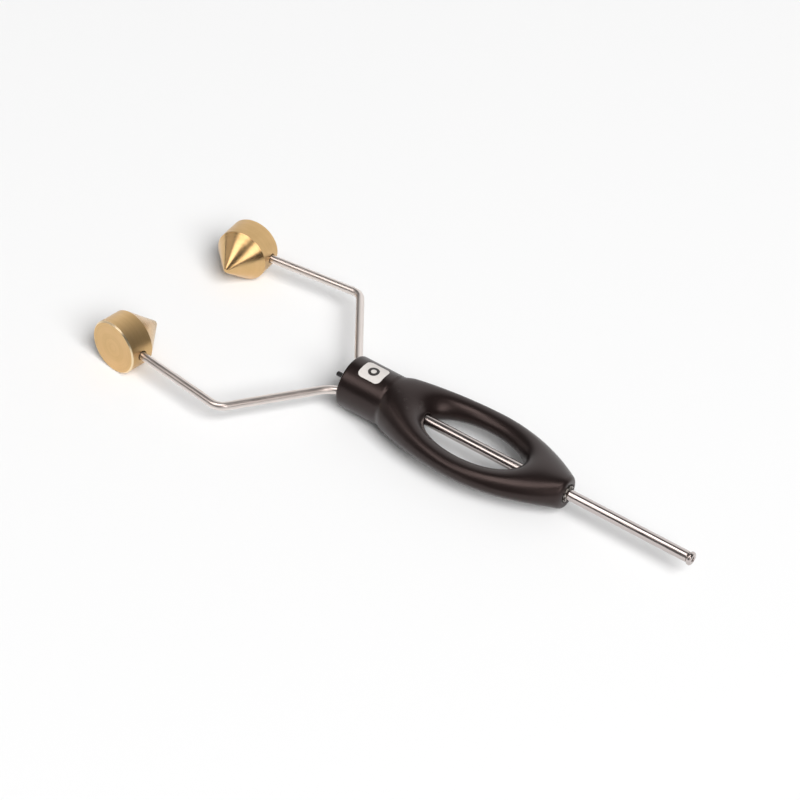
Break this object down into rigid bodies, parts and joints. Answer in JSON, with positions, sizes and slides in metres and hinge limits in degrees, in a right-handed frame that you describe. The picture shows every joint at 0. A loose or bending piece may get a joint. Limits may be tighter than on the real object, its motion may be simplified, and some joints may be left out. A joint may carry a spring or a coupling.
{
  "type": "fly-tying thread bobbin holder",
  "caption": "Hand-held thread bobbin with a see-through handle, a slim steel thread tube and two sprung wire arms whose brass cones pinch a spool.",
  "frame": {"origin": "middle of the tool's length, on the thread tube's axis", "axes": "+X along the thread tube towards its outlet, +Y towards the left arm, +Z square to the plane of the two arms"},
  "size_m": [0.11, 0.042, 0.01],
  "materials": {
    "handle_black": "satin black, fine texture",
    "steel": "polished stainless",
    "spring_wire": "drawn and polished spring wire",
    "ferrule_grey": "dull grey",
    "brass": "satin turned, with fine tool lines",
    "liner_dark": "smooth dark"
  },
  "bodies": {
    "handle": {"handle": "handle_black", "thread_tube": "steel", "tube_liner": "liner_dark", "tube_lip": "steel", "tail_ferrule": "ferrule_grey", "left_arm_root": "spring_wire", "right_arm_root": "spring_wire"},
    "left_arm": {"left_arm": "spring_wire", "left_spool_cone": "brass"},
    "right_arm": {"right_arm": "spring_wire", "right_spool_cone": "brass"}
  },
  "joints": [
    {"name": "left_arm_flex", "type": "hinge", "parent": "handle", "child": "left_arm", "pos_m": [-0.01741, 0.00761, 0], "axis": [0, 0, -1], "range_deg": [-3, 8], "stiffness_Nm_per_rad": 1.8},
    {"name": "right_arm_flex", "type": "hinge", "parent": "handle", "child": "right_arm", "pos_m": [-0.01741, -0.00761, 0], "axis": [0, 0, 1], "range_deg": [-3, 8], "stiffness_Nm_per_rad": 1.8}
  ]
}
